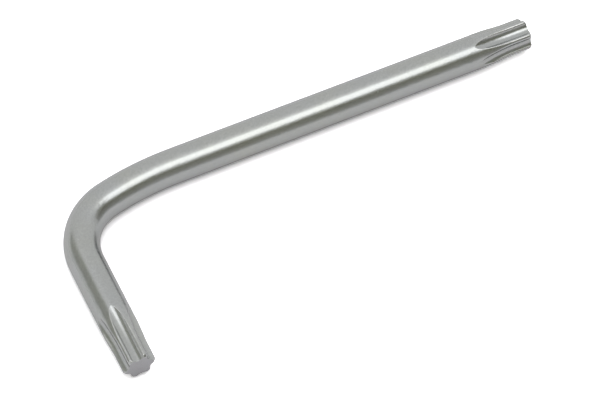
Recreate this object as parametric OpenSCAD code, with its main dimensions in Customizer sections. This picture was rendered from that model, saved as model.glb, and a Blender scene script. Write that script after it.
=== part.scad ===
// Star key: one round steel bar bent to an L, with a six-lobed star formed in each end.
// Sizes are in millimetres and degrees. The key lies flat on Z = 0, its long arm along +X
// and its short arm towards -Y. The origin is under the middle of its outer box.

/* [Bar] */
// Diameter of the bar
shank_d = 3.5; // [3.3:0.05:4.5]
// Length over the key, from the outside of the short arm to the long tip
long_reach = 51.4; // [45:0.1:120]
// Width over the key, from the outside of the long arm to the short tip
short_reach = 21; // [19:0.1:40]

/* [Bend] */
// Radius of the bend, at the middle of the bar
bend_r = 6; // [4:0.1:7.5]
// Radius of the long, gentle curve that leads the bend into the long arm, at the middle of the bar
lead_r = 30; // [12:1:60]
// Share of the right angle that the gentle curve turns through
lead_angle = 14; // [6:1:25]

/* [Star] */
// Diameter over the lobes
star_d = 3.27; // [3.1:0.01:3.5]
// Diameter between the bottoms of opposite flutes
root_d = 2.3; // [2.1:0.01:2.5]
// Radius of a flute
flute_r = 0.72; // [0.6:0.01:0.76]
// Radius of the lobes' rounding, made as a flat on each side of a lobe
lobe_r = 0.25; // [0.15:0.01:0.3]
// Length over which the lobes keep their diameter, from the tip
star_length = 2.2; // [1.5:0.1:2.5]
// Length over which the lobes then widen
star_taper = 2.1; // [1.5:0.1:2.5]
// What the lobes still lack of the bar's radius there, and gain slowly up to the plain arm
star_ease = 0.02; // [0.01:0.01:0.05]
// Full-depth length of the flutes in the long tip
long_flute = 3.75; // [3:0.05:5]
// Full-depth length of the flutes in the short tip
short_flute = 4.05; // [3:0.05:4.5]
// Length over which the flutes rise to the surface of the bar
runout = 2.15; // [2:0.05:4]
// Plain length left between the ends of the flutes and the plain arm
plain_past = 0.45; // [0.2:0.05:1]
// Chamfer on the rim of the end faces
chamfer = 0.2; // [0.05:0.05:0.4]
// Turn of the long tip's star about its arm, from straight up towards -Y
long_turn = 19.5; // [0:0.5:60]
// Turn of the short tip's star about its arm, from straight up towards -X
short_turn = 6; // [0:0.5:60]

/* [Hidden] */
$fn = 96;
lobes = 6;
steel = [0.66, 0.66, 0.65];

shank_r = shank_d / 2;
star_r = star_d / 2;
root_r = root_d / 2;
bend_angle = 90 - lead_angle;

// The arms' centre lines: the long one at this Y, the short one at this X, both at this Z
long_y = short_reach / 2 - shank_r;
short_x = shank_r - long_reach / 2;
axis_z = shank_r;

// Where the centre line leaves each arm, and the centres of the two curves between them
short_end_y = long_y - lead_r + (lead_r - bend_r) * cos(lead_angle);
bend_centre = [short_x + bend_r, short_end_y];
lead_centre = bend_centre + (lead_r - bend_r) * [sin(lead_angle), -cos(lead_angle)];
long_end_x = lead_centre.x;

// Length of each formed tip, and where it meets its plain arm
long_tip = long_flute + runout + plain_past;
short_tip = short_flute + runout + plain_past;
long_join_x = long_reach / 2 - long_tip;
short_join_y = short_tip - short_reach / 2;

// A flute is a straight groove that then climbs out of the bar at a steady slope
flute_centre = root_r + flute_r;
climb = atan((shank_r - root_r) / runout);
mitre_back = flute_r * tan(climb / 2);

// The flats beside a flute lie in one plane, at this distance from the bar's middle. They touch
// the lobes' rounding, and they climb past the bar's surface from where the lobes start to widen
flat_x = (star_r - lobe_r) * cos(180 / lobes) + lobe_r;
flat_start = star_length + 0.1;
flat_climb = atan((shank_r - flat_x) / (1.25 * star_taper));

// How far the cutters of a flute run clear of the tip and of the bar,
// and the half width of the block that trims them
past_tip = 1;
past_bar = 3 * flute_r;
room = 4 * flute_r;
climb_length = runout / cos(climb) + past_bar;

// A straight round bar along +Z
module bar(length) {
    cylinder(r = shank_r, h = length);
}

// An arc of the bar round +Z, from +X towards +Y
module bar_arc(radius, angle) {
    rotate_extrude(angle = angle) translate([radius, 0]) circle(r = shank_r);
}

// Half of space above Z = 0, large enough to trim one groove
module upper_half() {
    translate([-room, -room, 0]) cube([2 * room, 2 * room, climb_length + room]);
}

// The straight groove, from past the tip to the mitre where the climb begins
module straight_groove(full_depth) {
    mitre_z = full_depth - mitre_back;
    difference() {
        translate([flute_centre, 0, -past_tip])
            cylinder(r = flute_r, h = past_tip + full_depth + flute_r);
        translate([flute_centre, 0, mitre_z]) rotate([0, climb / 2, 0]) upper_half();
    }
}

// The groove that climbs from the mitre to the surface of the bar
module climbing_groove(full_depth) {
    mitre_z = full_depth - mitre_back;
    translate([flute_centre, 0, mitre_z]) intersection() {
        rotate([0, climb, 0]) translate([0, 0, -flute_r])
            cylinder(r = flute_r, h = flute_r + climb_length);
        rotate([0, climb / 2, 0]) upper_half();
    }
}

// What lies outside the plane of the flats beside one flute
module flats(length) {
    intersection() {
        translate([flat_x, -room, -past_tip]) cube([room, 2 * room, past_tip + length]);
        translate([flat_x, 0, flat_start]) rotate([0, flat_climb, 0])
            translate([0, -room, -2 * room]) cube([2 * room, 2 * room, 2 * room + 2 * length]);
    }
}

// A formed tip: its end face lies on Z = 0 and the bar goes on towards +Z
module star_tip(full_depth, length) {
    difference() {
        rotate_extrude() polygon([
            [0, 0],
            [star_r - chamfer, 0],
            [star_r, chamfer],
            [star_r, star_length],
            [shank_r - star_ease, star_length + star_taper],
            [shank_r, length],
            [0, length]
        ]);
        for (i = [0 : lobes - 1]) rotate([0, 0, i * 360 / lobes]) {
            straight_groove(full_depth);
            climbing_groove(full_depth);
            flats(length);
        }
    }
}

module long_star() {
    color(steel) translate([long_reach / 2, long_y, axis_z])
        rotate([0, -90, 0]) rotate([0, 0, -long_turn]) star_tip(long_flute, long_tip);
}

module long_arm() {
    color(steel) translate([long_end_x, long_y, axis_z])
        rotate([0, 90, 0]) bar(long_join_x - long_end_x);
}

module lead_curve() {
    color(steel) translate([lead_centre.x, lead_centre.y, axis_z])
        rotate([0, 0, 90]) bar_arc(lead_r, lead_angle);
}

module bend() {
    color(steel) translate([bend_centre.x, bend_centre.y, axis_z])
        rotate([0, 0, 180 - bend_angle]) bar_arc(bend_r, bend_angle);
}

module short_arm() {
    color(steel) translate([short_x, short_join_y, axis_z])
        rotate([-90, 0, 0]) bar(short_end_y - short_join_y);
}

module short_star() {
    color(steel) translate([short_x, -short_reach / 2, axis_z])
        rotate([-90, 0, 0]) rotate([0, 0, -90 - short_turn]) star_tip(short_flute, short_tip);
}

long_star();
long_arm();
lead_curve();
bend();
short_arm();
short_star();
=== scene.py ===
import math

import bpy
from mathutils import Matrix, Vector


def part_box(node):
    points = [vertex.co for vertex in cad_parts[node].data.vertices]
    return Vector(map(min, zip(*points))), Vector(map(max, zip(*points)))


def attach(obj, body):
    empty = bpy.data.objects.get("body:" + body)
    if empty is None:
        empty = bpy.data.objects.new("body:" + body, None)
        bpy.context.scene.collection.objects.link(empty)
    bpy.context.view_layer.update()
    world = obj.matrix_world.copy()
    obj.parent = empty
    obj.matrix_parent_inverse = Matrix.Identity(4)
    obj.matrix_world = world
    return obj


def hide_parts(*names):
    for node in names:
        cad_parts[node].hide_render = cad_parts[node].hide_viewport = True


mm = 0.001

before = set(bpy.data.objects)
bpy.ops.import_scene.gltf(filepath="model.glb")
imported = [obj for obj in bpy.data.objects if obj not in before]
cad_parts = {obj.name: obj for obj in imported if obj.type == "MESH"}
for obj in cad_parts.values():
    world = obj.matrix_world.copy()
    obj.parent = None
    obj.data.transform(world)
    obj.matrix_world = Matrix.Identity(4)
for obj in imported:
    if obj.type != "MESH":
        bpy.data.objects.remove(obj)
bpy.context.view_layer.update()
scene = bpy.context.scene
scene.view_settings.view_transform = "Standard"
print("frame loaded,", len(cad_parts), "sections of the bar")


# Camera, at the photograph's viewing angle

photoView = {
    "azimuth": -25.0,
    "elevation": 55.73,
    "distance": 299.2 * mm,
    "aim": (-2.85 * mm, 0.06 * mm, 1.78 * mm),
    "lens": 189.2,
    "sensor": 36.0,
    "clip": (10 * mm, 10.0),
}


def towards(azimuth, elevation):
    turn = math.radians(azimuth)
    rise = math.radians(elevation)
    return Vector((math.sin(turn) * math.cos(rise), -math.cos(turn) * math.cos(rise), math.sin(rise)))


def makeCamera(view):
    data = bpy.data.cameras.new("photoCamera")
    data.lens = view["lens"]
    data.sensor_width = view["sensor"]
    data.clip_start, data.clip_end = view["clip"]
    camera = bpy.data.objects.new("photoCamera", data)
    back = towards(view["azimuth"], view["elevation"])
    camera.location = Vector(view["aim"]) + back * view["distance"]
    camera.rotation_euler = (-back).to_track_quat("-Z", "Y").to_euler()
    scene.collection.objects.link(camera)
    scene.camera = camera


makeCamera(photoView)
print("camera set")


# Wiring: numbers inside a node tree that add, multiply and compare as numbers do

class Wire:
    def __init__(self, tree, socket):
        self.tree = tree
        self.socket = socket

    def maths(self, operation, *others):
        node = self.tree.nodes.new("ShaderNodeMath")
        node.operation = operation
        for place, value in enumerate((self, *others)):
            plug(value, node.inputs[place])
        return Wire(self.tree, node.outputs[0])

    def __add__(self, other):
        return self.maths("ADD", other)

    def __sub__(self, other):
        return self.maths("SUBTRACT", other)

    def __mul__(self, other):
        return self.maths("MULTIPLY", other)

    def __truediv__(self, other):
        return self.maths("DIVIDE", other)


def plug(value, socket):
    if isinstance(value, Wire):
        value.tree.links.new(value.socket, socket)
    else:
        socket.default_value = value


def addNode(tree, kind, settings=None, **inputs):
    node = tree.nodes.new(kind)
    for name, value in (settings or {}).items():
        setattr(node, name, value)
    for name, value in inputs.items():
        plug(value, node.inputs[name.replace("_", " ")])
    return node


def least(one, other):
    return one.maths("MINIMUM", other)


def most(one, other):
    return one.maths("MAXIMUM", other)


def within(value, low, high):
    return least(most(value, low), high)


def share(value):
    return within(value, 0.0, 1.0)


def below(value, limit):
    return value.maths("LESS_THAN", limit)


def blend(start, end, part):
    return start + (start * -1.0 + end) * part


def remainder(part):
    return part * -1.0 + 1.0


def sine(angle):
    return angle.maths("SINE")


def cosine(angle):
    return angle.maths("COSINE")


def squareRoot(value):
    return most(value, 0.0).maths("SQRT")


def vector(x, y, z):
    node = addNode(x.tree, "ShaderNodeCombineXYZ", X=x, Y=y, Z=z)
    return Wire(x.tree, node.outputs[0])


def mixColour(tree, part, one, other):
    # by number, because the node's sockets for numbers and for colours share their names
    node = addNode(tree, "ShaderNodeMix", {"data_type": "RGBA"})
    plug(part, node.inputs[0])
    plug(one, node.inputs[6])
    plug(other, node.inputs[7])
    return Wire(tree, node.outputs[2])


# Stage: a white floor that keeps the key's shadow and has painted shade added next to the key, a softbox
# overhead in four layers and two grey cards

whiteFloor = {
    "size": 4.0,
    "paint": 0.74,
    "seenPaint": 2.0,  # straight from the camera, overexposed as in the photograph
    "mirroredPaint": 0.94,  # in the key's reflections
    "tint": (1.0, 0.987, 1.015),
    "paintedShadeReach": 0.9 * mm,  # how far from the key the painted shade darkens the floor
    "paintedShadeStrength": 0.28,  # how strongly the painted shade darkens it
}

studioGrey = (0.93, 0.93, 0.93, 1.0)

# each layer spans these angles, from straight back over the top to the front,
# and stands to the right by this share of its distance
softbox = {
    "softboxFront": {"angles": (92.0, 122.0), "fromRight": 0.16, "width": 0.44, "radiance": 1.42},
    "softboxBack": {"angles": (79.0, 122.0), "fromRight": 0.16, "width": 0.44, "radiance": 0.26},
    "softboxLow": {"angles": (66.0, 92.0), "fromRight": -0.22, "width": 0.36, "radiance": 0.5},
    "softboxHigh": {"angles": (80.0, 92.0), "fromRight": -0.22, "width": 0.36, "radiance": 0.9},
}
softboxDistance = 0.6

greyCards = {
    "frontCard": {
        "azimuths": (-25.0, 79.0),
        "elevations": (3.0, 46.0),
        "lowColour": (0.76, 0.76, 0.74, 1.0),
        "highColour": (0.25, 0.255, 0.15, 1.0),
        "farShade": 0.65,
    },
    "leftCard": {
        "azimuths": (-147.0, -80.0),
        "elevations": (16.0, 53.0),
        "lowColour": (0.64, 0.65, 0.6, 1.0),
        "highColour": (0.6, 0.61, 0.54, 1.0),
        "farShade": 1.0,
    },
}
cardDistance = 0.6
cardSteps = 16


def newMaterial(name):
    material = bpy.data.materials.new(name)
    material.use_nodes = True
    material.node_tree.nodes.clear()
    return material, material.node_tree


def finishMaterial(tree, surface):
    out = addNode(tree, "ShaderNodeOutputMaterial")
    tree.links.new(surface.outputs[0], out.inputs["Surface"])


def stagePiece(name, points, faces, material):
    mesh = bpy.data.meshes.new(name)
    mesh.from_pydata(points, [], faces)
    mesh.materials.append(material)
    item = bpy.data.objects.new(name, mesh)
    scene.collection.objects.link(item)
    return item


def floorMaterial():
    material, tree = newMaterial("whiteFloor")
    rays = addNode(tree, "ShaderNodeLightPath")
    camera = Wire(tree, rays.outputs["Is Camera Ray"])
    glossy = Wire(tree, rays.outputs["Is Glossy Ray"])
    gloss = most(glossy, Wire(tree, rays.outputs["Is Transmission Ray"]))
    # painted shade: ambient occlusion darkens the floor's colour next to the key, on top of its lit
    # shadow, both as seen from the camera and in the key's reflections
    occlusion = addNode(tree, "ShaderNodeAmbientOcclusion", Distance=whiteFloor["paintedShadeReach"])
    contact = Wire(tree, occlusion.outputs["AO"]).maths("POWER", whiteFloor["paintedShadeStrength"])
    seen = camera * (contact * whiteFloor["seenPaint"] - whiteFloor["paint"])
    mirrored = gloss * (contact * whiteFloor["mirroredPaint"] - whiteFloor["paint"])
    white = seen + mirrored + whiteFloor["paint"]
    paint = vector(*(white * part for part in whiteFloor["tint"]))
    finishMaterial(tree, addNode(tree, "ShaderNodeBsdfDiffuse", Color=paint))
    return material


def makeFloor():
    half = whiteFloor["size"] / 2
    corners = [(-half, -half, 0), (half, -half, 0), (half, half, 0), (-half, half, 0)]
    stagePiece("floor", corners, [(0, 1, 2, 3)], floorMaterial())


def cardMaterial(name, card):
    material, tree = newMaterial(name)
    spot = addNode(tree, "ShaderNodeSeparateXYZ")
    tree.links.new(addNode(tree, "ShaderNodeTexCoord").outputs["Object"], spot.inputs[0])
    low, high = (cardDistance * math.sin(math.radians(angle)) for angle in card["elevations"])
    left, right = (cardDistance * math.sin(math.radians(angle)) for angle in card["azimuths"])
    rise = share((Wire(tree, spot.outputs["Z"]) - low) / (high - low))
    along = share((Wire(tree, spot.outputs["X"]) - left) / (right - left))
    colour = mixColour(tree, rise, card["lowColour"], card["highColour"])
    dull = [part * card["farShade"] for part in card["lowColour"]]
    dark = [part * card["farShade"] for part in card["highColour"]]
    farColour = mixColour(tree, rise, dull, dark)
    shaded = mixColour(tree, along * along, colour, farColour)
    finishMaterial(tree, addNode(tree, "ShaderNodeBsdfDiffuse", Color=shaded))
    return material


def makeCard(name, card):
    # a strip of a dome round the key
    start, end = card["azimuths"]
    turns = [start + (end - start) * step / cardSteps for step in range(cardSteps + 1)]
    points = [towards(turn, rise) * cardDistance for turn in turns for rise in card["elevations"]]
    faces = [(2 * step, 2 * step + 1, 2 * step + 3, 2 * step + 2) for step in range(cardSteps)]
    item = stagePiece(name, points, faces, cardMaterial(name, card))
    item.visible_camera = False


def makeSoftboxLayer(name, layer):
    start, end = layer["angles"]
    middle = math.radians((start + end) / 2)
    side = layer["fromRight"]
    across = math.sqrt(1 - side * side)
    outward = Vector((side, across * math.cos(middle), across * math.sin(middle)))
    sideways = Vector((1, 0, 0)) - outward * outward.x
    sideways.normalize()
    lamp = bpy.data.lights.new(name, "AREA")
    lamp.shape = "RECTANGLE"
    lamp.size = layer["width"]
    lamp.size_y = 2 * softboxDistance * math.tan(math.radians(end - start) / 2)
    lamp.energy = layer["radiance"] * math.pi * lamp.size * lamp.size_y
    item = bpy.data.objects.new(name, lamp)
    item.location = outward * softboxDistance
    item.rotation_euler = Matrix((sideways, outward.cross(sideways), outward)).transposed().to_euler()
    item.visible_camera = False
    scene.collection.objects.link(item)


def makeStudio():
    makeFloor()
    for name, card in greyCards.items():
        makeCard(name, card)
    for name, layer in softbox.items():
        makeSoftboxLayer(name, layer)
    world = bpy.data.worlds.new("studio")
    world.use_nodes = True
    world.node_tree.nodes["Background"].inputs["Color"].default_value = studioGrey
    scene.world = world


makeStudio()
print("studio set")


# Material: satin plating over drawn steel

satinPlating = {
    "coolGrey": (0.388, 0.4, 0.398, 1.0),
    "warmGrey": (0.394, 0.404, 0.384, 1.0),
    "wornEdge": (0.6, 0.6, 0.59, 1.0),
    "cutFace": (0.36, 0.36, 0.37, 1.0),
    "grazingTint": (0.82, 0.82, 0.82, 1.0),
    "clouds": {"perMm": (0.25, 0.25, 0.25), "detail": 3.0},
    "peel": {"perMm": (1.6, 1.6, 1.6), "detail": 1.0},
    "grain": {"perMm": (6.0, 6.0, 6.0), "detail": 3.0},
    "lines": {"perMm": (9.0, 9.0, 0.2), "detail": 2.0},
    "warmFrom": 0.3,  # clouds above this turn warm
    "warmGain": 2.5,
    "wornFrom": 0.2,  # edges wear where the grain stands above this
    "grainTone": 0.25,
    "satin": 0.25,  # roughness of the plain bar
    "satinSpread": 0.06,
    "fluteSatin": 0.24,
    "edgeSatin": 0.18,
    "faceSatin": 0.25,
    "peelHeight": 10.0 * mm * mm,
    "grainHeight": 2.6 * mm * mm,
    "lineHeight": 0.8 * mm * mm,
}


def noiseOn(tree, place, pattern):
    perMetre = tuple(count / mm for count in pattern["perMm"])
    stretched = addNode(tree, "ShaderNodeMapping", Vector=place, Scale=perMetre)
    spot = Wire(tree, stretched.outputs[0])
    noise = addNode(tree, "ShaderNodeTexNoise", Vector=spot, Scale=1.0, Detail=pattern["detail"])
    return Wire(tree, noise.outputs[0])


def sway(noise):
    return noise - 0.5  # either side of a noise's middle


def surfaceMark(tree, name, part="Fac"):
    return Wire(tree, addNode(tree, "ShaderNodeAttribute", {"attribute_name": name}).outputs[part])


def platingMaterial():
    look = satinPlating
    material, tree = newMaterial("satinPlating")
    place = surfaceMark(tree, "barRun", "Vector")
    clouds = noiseOn(tree, place, look["clouds"])
    peel = noiseOn(tree, place, look["peel"])
    grain = noiseOn(tree, place, look["grain"])
    lines = noiseOn(tree, place, look["lines"])
    flute = surfaceMark(tree, "fluteDepth")
    edge = surfaceMark(tree, "lobeEdge")
    face = surfaceMark(tree, "endFace")
    warm = share((clouds - look["warmFrom"]) * look["warmGain"])
    worn = share(edge * (grain - look["wornFrom"]))
    colour = mixColour(tree, warm, look["coolGrey"], look["warmGrey"])
    colour = mixColour(tree, face, colour, look["cutFace"])
    tone = sway(grain) * look["grainTone"] + 1.0
    colour = Wire(tree, addNode(tree, "ShaderNodeHueSaturation", Value=tone, Color=colour).outputs[0])
    colour = mixColour(tree, worn, colour, look["wornEdge"])
    satin = sway(grain) * look["satinSpread"] + sway(lines) * look["satinSpread"] + look["satin"]
    satin = satin + flute * (look["fluteSatin"] - look["satin"])
    satin = blend(satin, look["faceSatin"], face)
    satin = satin + worn * (look["edgeSatin"] - look["satin"])
    height = peel * look["peelHeight"] + grain * look["grainHeight"] + lines * look["lineHeight"]
    bump = addNode(tree, "ShaderNodeBump", Strength=1.0, Distance=1.0, Height=height)
    shader = addNode(tree, "ShaderNodeBsdfPrincipled", Metallic=1.0, Base_Color=colour, Roughness=satin,
                     Specular_Tint=look["grazingTint"])
    tree.links.new(bump.outputs[0], shader.inputs["Normal"])
    finishMaterial(tree, shader)
    return material


plating = platingMaterial()
print("plating mixed")


# Key bar: one lobed, bent bar, made by a node tree from these sizes

starTip = {
    "lobeRadius": 1.635 * mm,
    "rootRadius": 1.15 * mm,
    "fluteRadius": 0.72 * mm,
    "starLength": 2.2 * mm,
    "starTaper": 2.1 * mm,
    "shortFlute": 4.05 * mm,
    "longFlute": 3.75 * mm,
    "runout": 2.15 * mm,
    "runoutLead": 2.2 * mm,  # the climb starts this far before the run-out
    "runoutCurve": 2.2,  # power of the climb
    "plainPast": 0.45 * mm,
    "chamfer": 0.2 * mm,
    "chamferEase": 0.05 * mm,
    "edgeRound": 0.2 * mm,  # of the lobes' edges at the tip
    "runoutRound": 0.1 * mm,  # and where the lobes have widened
    "rimRound": 0.03 * mm,
    "shortTurn": math.radians(-6.0),
    "longTurn": math.radians(19.5),
}

barSteps = {
    "fluteSteps": 10,
    "edgeSteps": 8,
    "crestSteps": 3,
    "capRings": 6,
    "rimRows": 3,
    "chamferRows": 7,
    "fluteRows": 6,
    "taperRows": 18,
    "runoutRows": 44,
    "spreadRows": 14,
    "shortArmRows": 6,
    "bendRows": 48,
    "leadRows": 16,
    "longArmRows": 26,
}

lobes = 6
leadAngle = math.radians(14.0)  # the gentle curve's share of the right angle
spreadLength = 2.0 * mm
spreadFrom = 0.9  # share of the flutes' run-out
wearDepth = 0.25  # share of a flute's depth, from which its edges wear in full
weldDistance = 0.0002 * mm


def barSizes():
    longLow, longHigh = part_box("long_arm")
    shortLow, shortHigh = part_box("short_arm")
    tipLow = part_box("short_star")[0]
    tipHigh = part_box("long_star")[1]
    barRadius = (longHigh.z - longLow.z) / 2
    shortX = (shortLow.x + shortHigh.x) / 2
    longY = (longLow.y + longHigh.y) / 2
    runX = longLow.x - shortX
    runY = longY - shortHigh.y
    radiusStep = (runX - runY) / (math.sin(leadAngle) + math.cos(leadAngle) - 1)
    bendRadius = runX - radiusStep * math.sin(leadAngle)
    return {
        "barRadius": barRadius,
        "shortX": shortX,
        "tipY": tipLow.y,
        "axisHeight": longLow.z + barRadius,
        "shortLength": shortHigh.y - tipLow.y,
        "bendRadius": bendRadius,
        "bendAngle": math.pi / 2 - leadAngle,
        "leadRadius": bendRadius + radiusStep,
        "leadAngle": leadAngle,
        "longLength": tipHigh.x - longLow.x,
        "spreadLength": spreadLength,
    }


def namedInputs(tree, sizes, steps):
    kinds = {name: "NodeSocketFloat" for name in sizes}
    kinds.update({name: "NodeSocketInt" for name in steps})
    kinds["finish"] = "NodeSocketMaterial"
    sockets = {}
    for name, kind in kinds.items():
        sockets[name] = tree.interface.new_socket(name=name, in_out="INPUT", socket_type=kind)
    tree.interface.new_socket(name="Geometry", in_out="OUTPUT", socket_type="NodeSocketGeometry")
    return sockets


def straightBlank(tree, halfLobe, stops):
    # flat grids laid end to end: X counts the points around the bar, Y runs along it
    around = halfLobe * (2.0 * lobes)
    joined = addNode(tree, "GeometryNodeJoinGeometry")
    for start, end, rows in stops:
        grid = addNode(tree, "GeometryNodeMeshGrid", Size_X=around, Size_Y=end - start,
                       Vertices_X=around + 1.0, Vertices_Y=rows + 1.0)
        middle = vector(around * 0.5, (start + end) * 0.5, 0.0)
        moved = addNode(tree, "GeometryNodeTransform", Translation=middle)
        tree.links.new(grid.outputs["Mesh"], moved.inputs["Geometry"])
        tree.links.new(moved.outputs[0], joined.inputs[0])
    welded = addNode(tree, "GeometryNodeMergeByDistance", Distance=weldDistance)
    tree.links.new(joined.outputs[0], welded.inputs["Geometry"])
    return welded.outputs[0]


def barTree(sizes, steps):
    tree = bpy.data.node_groups.new("starKeyBar", "GeometryNodeTree")
    sockets = namedInputs(tree, sizes, steps)
    inlet = addNode(tree, "NodeGroupInput")
    size = {name: Wire(tree, inlet.outputs[name]) for name in sockets}

    # stations along the straightened bar, from the short tip's end face
    bendStart = size["shortLength"]
    leadStart = bendStart + size["bendRadius"] * size["bendAngle"]
    longStart = leadStart + size["leadRadius"] * size["leadAngle"]
    length = longStart + size["longLength"]
    cap = size["rootRadius"]
    formed = size["runout"] + size["plainPast"]
    chamfered = size["chamfer"] + size["chamferEase"]
    shortStops = [
        (cap * -1.0, "capRings"),
        (cap * 0.0, "rimRows"),  # the end face's rim
        (size["rimRound"], "chamferRows"),
        (chamfered, "fluteRows"),
        (size["starLength"], "taperRows"),
        (size["shortFlute"], "runoutRows"),
        (size["shortFlute"] + formed, "spreadRows"),
        (size["shortFlute"] + formed + size["spreadLength"], "shortArmRows"),
        (bendStart, "bendRows"),
        (leadStart, "leadRows"),
        (longStart, "longArmRows"),
    ]
    longStops = [
        (length - size["longFlute"] - formed - size["spreadLength"], "spreadRows"),
        (length - size["longFlute"] - formed, "runoutRows"),
        (length - size["longFlute"], "taperRows"),
        (length - size["starLength"], "fluteRows"),
        (length - chamfered, "chamferRows"),
        (length - size["rimRound"], "rimRows"),
        (length, "capRings"),
        (length + cap, None),
    ]
    marks = shortStops + longStops
    stops = [(one[0], two[0], size[one[1]]) for one, two in zip(marks, marks[1:])]
    halfLobe = size["fluteSteps"] + size["edgeSteps"] + size["crestSteps"]
    geometry = straightBlank(tree, halfLobe, stops)

    # a point's count around the bar and its run along it
    spot = addNode(tree, "ShaderNodeSeparateXYZ")
    tree.links.new(addNode(tree, "GeometryNodeInputPosition").outputs[0], spot.inputs[0])
    count = Wire(tree, spot.outputs["X"])
    run = Wire(tree, spot.outputs["Y"])
    onLong = run.maths("GREATER_THAN", length * 0.5)

    # depth behind the nearer end face, with the rim rounded and the face drawn in to its middle
    reach = least(run, length - run)
    quarter = share(reach / size["rimRound"]) * (math.pi / 2)
    depth = most(reach, size["rimRound"]) - size["rimRound"] * cosine(quarter)
    inset = size["rimRound"] - size["rimRound"] * sine(quarter)
    faceShare = share(reach * -1.0 / cap)
    capShare = remainder(faceShare * faceShare)

    # the lobes' outer radius and the flutes' bottom at that depth
    full = blend(size["shortFlute"], size["longFlute"], onLong)
    widening = share((depth - size["starLength"]) / size["starTaper"])
    bevel = size["lobeRadius"] - size["chamfer"] + depth
    crown = bevel.maths("SMOOTH_MIN", size["lobeRadius"], size["chamferEase"])
    outer = crown + (size["barRadius"] - size["lobeRadius"]) * widening
    climbing = most(depth - full + size["runoutLead"], 0.0) / (size["runout"] + size["runoutLead"])
    climb = climbing.maths("POWER", size["runoutCurve"])
    bottom = least(size["rootRadius"] + (size["barRadius"] - size["rootRadius"]) * climb, outer)

    # half a lobe in three arcs: the flute, the rounded edge and the crest
    flute = size["fluteRadius"]
    easing = blend(size["edgeRound"], size["runoutRound"], widening)
    fluteCentre = bottom + flute
    edgeReach = outer - easing
    edgeSpan = flute + easing
    squares = edgeReach * edgeReach + fluteCentre * fluteCentre - edgeSpan * edgeSpan
    edgeCosine = squares / (edgeReach * fluteCentre * 2.0)
    edgeAngle = within(edgeCosine, -1.0, 1.0).maths("ARCCOSINE")
    edgeX = edgeReach * cosine(edgeAngle)
    edgeY = edgeReach * sine(edgeAngle)
    fluteEnd = edgeY.maths("ARCTAN2", fluteCentre - edgeX)
    wrapped = count.maths("WRAP", halfLobe, halfLobe * -1.0)
    place = wrapped.maths("ABSOLUTE")
    fluteAngle = share(place / size["fluteSteps"]) * fluteEnd
    edgePlace = place - size["fluteSteps"]
    roundAngle = blend(fluteEnd * -1.0, edgeAngle, share(edgePlace / size["edgeSteps"]))
    crestPlace = edgePlace - size["edgeSteps"]
    crestAngle = blend(edgeAngle, math.pi / lobes, share(crestPlace / size["crestSteps"]))
    inFlute = below(place, size["fluteSteps"])
    inEdge = below(crestPlace, 0.0)
    pointX = blend(outer * cosine(crestAngle), edgeX + easing * cosine(roundAngle), inEdge)
    pointY = blend(outer * sine(crestAngle), edgeY + easing * sine(roundAngle), inEdge)
    pointX = blend(pointX, fluteCentre - flute * cosine(fluteAngle), inFlute)
    pointY = blend(pointY, flute * sine(fluteAngle), inFlute)

    # past the flutes the points spread out evenly round the plain bar
    radius = squareRoot(pointX * pointX + pointY * pointY)
    spread = share((depth - full - size["runout"] * spreadFrom) / size["spreadLength"])
    evenly = place / halfLobe * (math.pi / lobes) * spread
    swing = most(pointY.maths("ARCTAN2", pointX), evenly)
    lobe = (count - wrapped) / (halfLobe * 2.0)
    twistLength = size["longLength"] - size["longFlute"] - formed - size["spreadLength"]
    turn = blend(size["shortTurn"], size["longTurn"], share((run - longStart) / twistLength))
    angle = turn + lobe * (2 * math.pi / lobes) + wrapped.maths("SIGN") * swing
    radius = (radius - inset) * capShare

    # the bend: the run along the bar turns into a place on the two arcs and the arms
    along = blend(depth, length - depth, onLong)
    bendTurn = within((along - bendStart) / size["bendRadius"], 0.0, size["bendAngle"])
    leadTurn = within((along - leadStart) / size["leadRadius"], 0.0, size["leadAngle"])
    heading = bendTurn + leadTurn
    leadHeading = size["bendAngle"] + leadTurn
    axisX = (size["shortX"] + size["bendRadius"] - size["bendRadius"] * cosine(bendTurn)
             + size["leadRadius"] * (cosine(size["bendAngle"]) - cosine(leadHeading))
             + most(along - longStart, 0.0))
    axisY = (size["tipY"] + least(along, bendStart) + size["bendRadius"] * sine(bendTurn)
             + size["leadRadius"] * (sine(leadHeading) - sine(size["bendAngle"])))
    inward = radius * sine(angle)
    upward = radius * cosine(angle)
    bentX = axisX + inward * cosine(heading)
    bentY = axisY - inward * sine(heading)
    bent = vector(bentX, bentY, size["axisHeight"] + upward)

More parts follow.
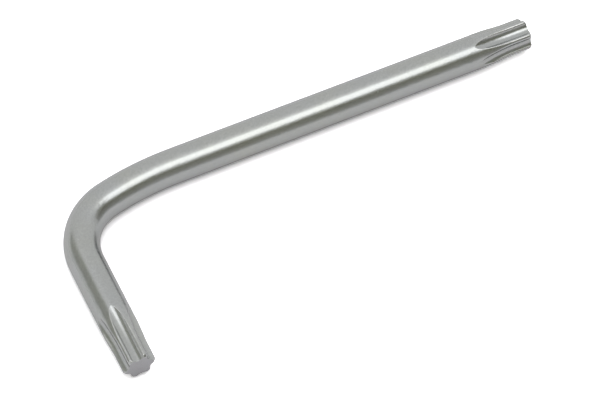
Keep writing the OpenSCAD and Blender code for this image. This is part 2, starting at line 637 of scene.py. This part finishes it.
    # marks that the plating reads: the straight bar's own coordinates, flutes, worn edges and cut faces
    fullDepth = size["lobeRadius"] - size["rootRadius"]
    cut = share((outer - bottom) / fullDepth / wearDepth)
    fromEdge = (edgePlace - size["edgeSteps"] * 0.5).maths("ABSOLUTE")
    nearEdge = share(remainder(fromEdge / size["edgeSteps"]))
    surfaceMarks = {
        "barRun": vector(inward, upward, along),
        "fluteDepth": share((outer - radius) / fullDepth) * remainder(faceShare),
        "lobeEdge": nearEdge * cut * below(reach * -1.0, 0.0),
        "endFace": below(reach, 0.0),
    }
    for name, value in surfaceMarks.items():
        kind = "FLOAT_VECTOR" if name == "barRun" else "FLOAT"
        stored = addNode(tree, "GeometryNodeStoreNamedAttribute", {"data_type": kind, "domain": "POINT"},
                         Name=name, Value=value)
        tree.links.new(geometry, stored.inputs["Geometry"])
        geometry = stored.outputs[0]

    shaped = addNode(tree, "GeometryNodeSetPosition", Position=bent)
    closed = addNode(tree, "GeometryNodeMergeByDistance", Distance=weldDistance)
    smooth = addNode(tree, "GeometryNodeSetShadeSmooth")
    real = addNode(tree, "GeometryNodeRealizeInstances")
    finished = addNode(tree, "GeometryNodeSetMaterial", Material=size["finish"])
    outlet = addNode(tree, "NodeGroupOutput")
    for node in (shaped, closed, smooth, real, finished, outlet):
        tree.links.new(geometry, node.inputs[0])
        geometry = node.outputs[0] if node.outputs else None
    return tree, sockets


def makeKeyBar():
    sizes = {**barSizes(), **starTip}
    tree, sockets = barTree(sizes, barSteps)
    bar = bpy.data.objects.new("key_bar", bpy.data.meshes.new("key_bar"))
    scene.collection.objects.link(bar)
    maker = bar.modifiers.new("starKeyBar", "NODES")
    maker.node_group = tree
    for name, value in {**sizes, **barSteps, "finish": plating}.items():
        maker[sockets[name].identifier] = value
    graph = bpy.context.evaluated_depsgraph_get()
    made = bar.evaluated_get(graph)
    mesh = bpy.data.meshes.new_from_object(made, preserve_all_data_layers=True, depsgraph=graph)
    bar.modifiers.remove(maker)
    bar.data = mesh
    return bar


keyBar = makeKeyBar()
print("key bar made,", len(keyBar.data.polygons), "faces")
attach(keyBar, "root")
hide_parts("long_star", "long_arm", "lead_curve", "bend", "short_arm", "short_star")
